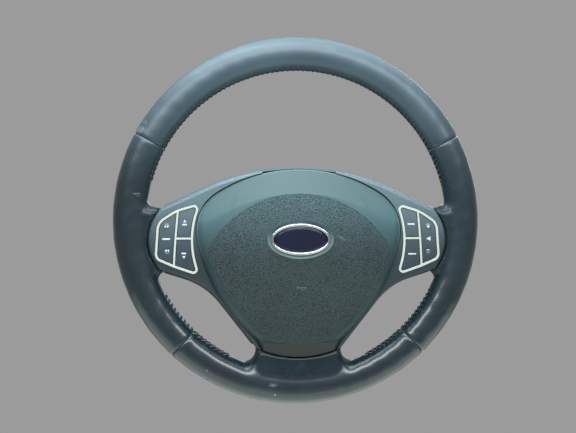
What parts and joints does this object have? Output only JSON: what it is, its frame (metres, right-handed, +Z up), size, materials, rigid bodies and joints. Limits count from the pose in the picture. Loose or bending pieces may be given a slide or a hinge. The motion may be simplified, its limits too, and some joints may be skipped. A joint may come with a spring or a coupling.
{
  "type": "steering wheel",
  "caption": "Leather-wrapped car steering wheel with a padded airbag centre that presses for the horn, and a rocker and push keys set in each side spoke.",
  "frame": {"origin": "middle of the hub boss's rear face, on the steering column's axis", "axes": "+X to the driver's right, +Z up with the wheel straight ahead, +Y away from the driver along the column"},
  "size_m": [0.38, 0.1019, 0.38],
  "materials": {
    "casting": "as cast",
    "hub_steel": "turned",
    "foam": "moulded skin",
    "leather": "grained",
    "cover_plastic": "fine grain",
    "trim_plastic": "satin",
    "pad_plastic": "leather grain",
    "frame_silver": "satin",
    "key_plastic": "satin",
    "case_plastic": "moulded",
    "board": "lacquered",
    "mat_rubber": "moulded",
    "fastener_steel": "plated",
    "rivet_metal": "plain",
    "tray_steel": "plated",
    "cushion_fabric": "woven",
    "badge_bright": "bright",
    "badge_dark": "gloss",
    "bush_plastic": "moulded",
    "spring_steel": "wound",
    "contact_brass": "plain"
  },
  "bodies": {
    "wheel": {"armature": "casting", "rim_ring": "hub_steel", "hub_boss": "hub_steel", "rim_foam": "foam", "leather_upper": "leather", "leather_left": "leather", "leather_right": "leather", "leather_lower": "leather", "rear_cover": "cover_plastic", "switch_screws": "fastener_steel", "cover_screws": "fastener_steel", "horn_bushes": "bush_plastic", "horn_springs": "spring_steel", "horn_contacts": "contact_brass", "right_bezel": "trim_plastic", "right_switch_frame": "frame_silver", "right_switch_case": "case_plastic", "right_switch_board": "board", "right_switch_mat": "mat_rubber", "left_bezel": "trim_plastic", "left_switch_frame": "frame_silver", "left_switch_case": "case_plastic", "left_switch_board": "board", "left_switch_mat": "mat_rubber"},
    "airbag_module": {"airbag_cover": "pad_plastic", "airbag_tray": "tray_steel", "airbag_inflator": "tray_steel", "airbag_cushion": "cushion_fabric", "cushion_ring": "tray_steel", "inflator_nuts": "fastener_steel", "cover_rivets": "rivet_metal", "badge_rim": "badge_bright", "badge_face": "badge_dark", "horn_pins": "hub_steel", "horn_clips": "fastener_steel"},
    "right_rocker_body": {"right_rocker": "key_plastic"},
    "right_upper_key_body": {"right_upper_key": "key_plastic"},
    "right_lower_key_body": {"right_lower_key": "key_plastic"},
    "left_rocker_body": {"left_rocker": "key_plastic"},
    "left_upper_key_body": {"left_upper_key": "key_plastic"},
    "left_lower_key_body": {"left_lower_key": "key_plastic"}
  },
  "joints": [
    {"name": "horn_press", "type": "slide", "parent": "wheel", "child": "airbag_module", "axis": [0, 1, 0], "range_m": [0, 0.0025], "stiffness_N_per_m": 8000, "springref_m": -0.002, "deforming": ["horn_springs"]},
    {"name": "right_rocker_tilt", "type": "hinge", "parent": "wheel", "child": "right_rocker_body", "pos_m": [0.13465, -0.075, -0.0185], "axis": [1, 0, 0], "range_deg": [-2.5, 2.5], "stiffness_Nm_per_rad": 0.8},
    {"name": "right_upper_key_press", "type": "slide", "parent": "wheel", "child": "right_upper_key_body", "axis": [0, 1, 0], "range_m": [0, 0.0012], "stiffness_N_per_m": 1500, "springref_m": -0.0008},
    {"name": "right_lower_key_press", "type": "slide", "parent": "wheel", "child": "right_lower_key_body", "axis": [0, 1, 0], "range_m": [0, 0.0012], "stiffness_N_per_m": 1500, "springref_m": -0.0008},
    {"name": "left_rocker_tilt", "type": "hinge", "parent": "wheel", "child": "left_rocker_body", "pos_m": [-0.13465, -0.075, -0.0185], "axis": [1, 0, 0], "range_deg": [-2.5, 2.5], "stiffness_Nm_per_rad": 0.8},
    {"name": "left_upper_key_press", "type": "slide", "parent": "wheel", "child": "left_upper_key_body", "axis": [0, 1, 0], "range_m": [0, 0.0012], "stiffness_N_per_m": 1500, "springref_m": -0.0008},
    {"name": "left_lower_key_press", "type": "slide", "parent": "wheel", "child": "left_lower_key_body", "axis": [0, 1, 0], "range_m": [0, 0.0012], "stiffness_N_per_m": 1500, "springref_m": -0.0008}
  ]
}
